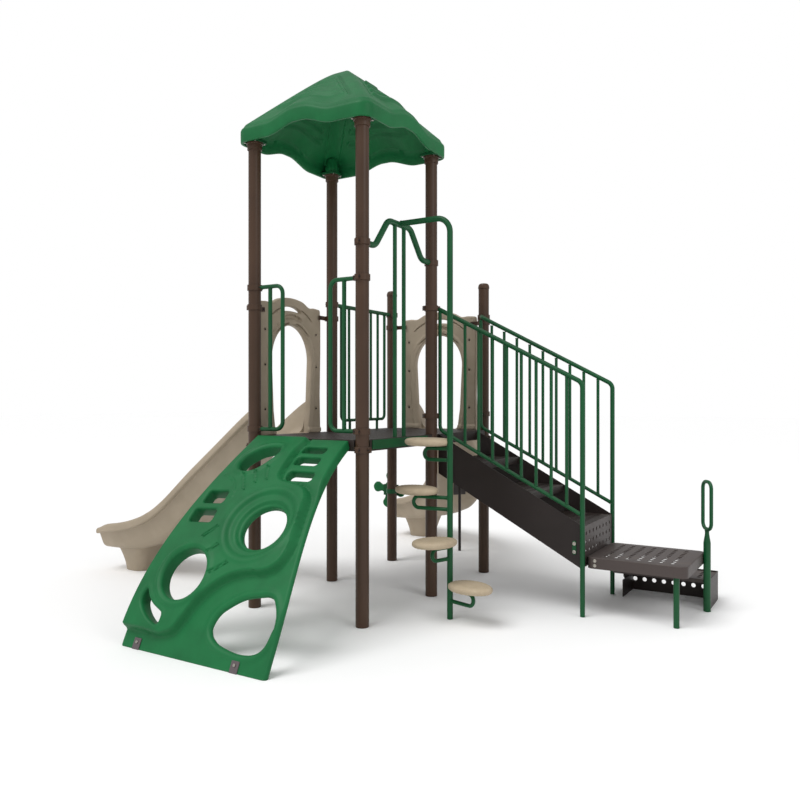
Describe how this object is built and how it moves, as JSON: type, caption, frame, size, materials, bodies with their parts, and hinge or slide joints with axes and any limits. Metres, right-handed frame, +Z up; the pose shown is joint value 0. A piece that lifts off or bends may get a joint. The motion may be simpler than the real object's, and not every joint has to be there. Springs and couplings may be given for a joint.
{
  "type": "playground structure with climbing wall",
  "caption": "Roofed play tower with a curved climbing wall, straight and curved slides, pod climber, guarded stair, transfer deck and a spinning wheel panel.",
  "frame": {"origin": "centre of the whole structure's footprint, on the ground", "axes": "+Z up; +Y runs from the foot of the climbing wall towards the tower and the curved slide; +X towards the stair and transfer deck"},
  "size_m": [4.7692, 4.5732, 3.885],
  "materials": {
    "post_brown": "satin powder coat",
    "deck_brown": "matte vinyl coat",
    "tube_green": "gloss powder coat",
    "plastic_green": "moulded, fine grain",
    "plastic_tan": "moulded, fine grain",
    "plastic_pod": "speckled, rough",
    "steel_plate": "satin",
    "steel_bolt": "plated"
  },
  "bodies": {
    "frame": {"barrier_bars": "tube_green", "barrier_rails": "tube_green", "climbing_wall_bolts": "steel_bolt", "climbing_wall_feet": "steel_plate", "climbing_wall_hanger": "steel_plate", "climbing_wall_panel": "plastic_green", "curved_slide": "plastic_tan", "curved_slide_leg": "steel_plate", "deck_clamp_bolts": "steel_bolt", "deck_clamps": "post_brown", "deck_ribs": "deck_brown", "grab_rail_left": "tube_green", "grab_rail_right": "tube_green", "hand_loop": "tube_green", "hand_loop_leg": "tube_green", "handrail_back": "tube_green", "handrail_bars_back": "tube_green", "handrail_bars_front": "tube_green", "handrail_front": "tube_green", "hood_bolts": "steel_bolt", "hood_clamps": "post_brown", "hood_left": "plastic_tan", "hood_rear": "plastic_tan", "landing_deck": "deck_brown", "pod_arch": "tube_green", "pod_bottom": "plastic_pod", "pod_brackets": "tube_green", "pod_deck_plate": "tube_green", "pod_hand_bars": "tube_green", "pod_lower": "plastic_pod", "pod_pole": "tube_green", "pod_top": "plastic_pod", "pod_upper": "plastic_pod", "post_caps": "post_brown", "post_front_left": "post_brown", "post_front_right": "post_brown", "post_middle_left": "post_brown", "post_middle_right": "post_brown", "post_rear_left": "post_brown", "post_rear_right": "post_brown", "rail_collar_bolts": "steel_bolt", "rail_collars": "post_brown", "roof_bolts": "steel_bolt", "roof_canopy": "plastic_green", "roof_corner_brackets": "post_brown", "roof_post_flanges": "post_brown", "stair_riser": "deck_brown", "stair_treads": "deck_brown", "straight_slide": "plastic_tan", "stringer_back": "deck_brown", "stringer_front": "deck_brown", "tower_deck": "deck_brown", "transfer_deck": "deck_brown", "transfer_deck_ties": "deck_brown", "transfer_leg": "tube_green", "transfer_step": "deck_brown", "transfer_step_skirt": "deck_brown", "wheel_axle": "steel_bolt", "wheel_bracket": "post_brown"},
    "wheel": {"activity_wheel": "plastic_green"}
  },
  "joints": [
    {"name": "wheel_spin", "type": "hinge", "parent": "frame", "child": "wheel", "pos_m": [-0.51615, 0.75517, 0.638], "axis": [0, 1, 0], "continuous": true}
  ]
}
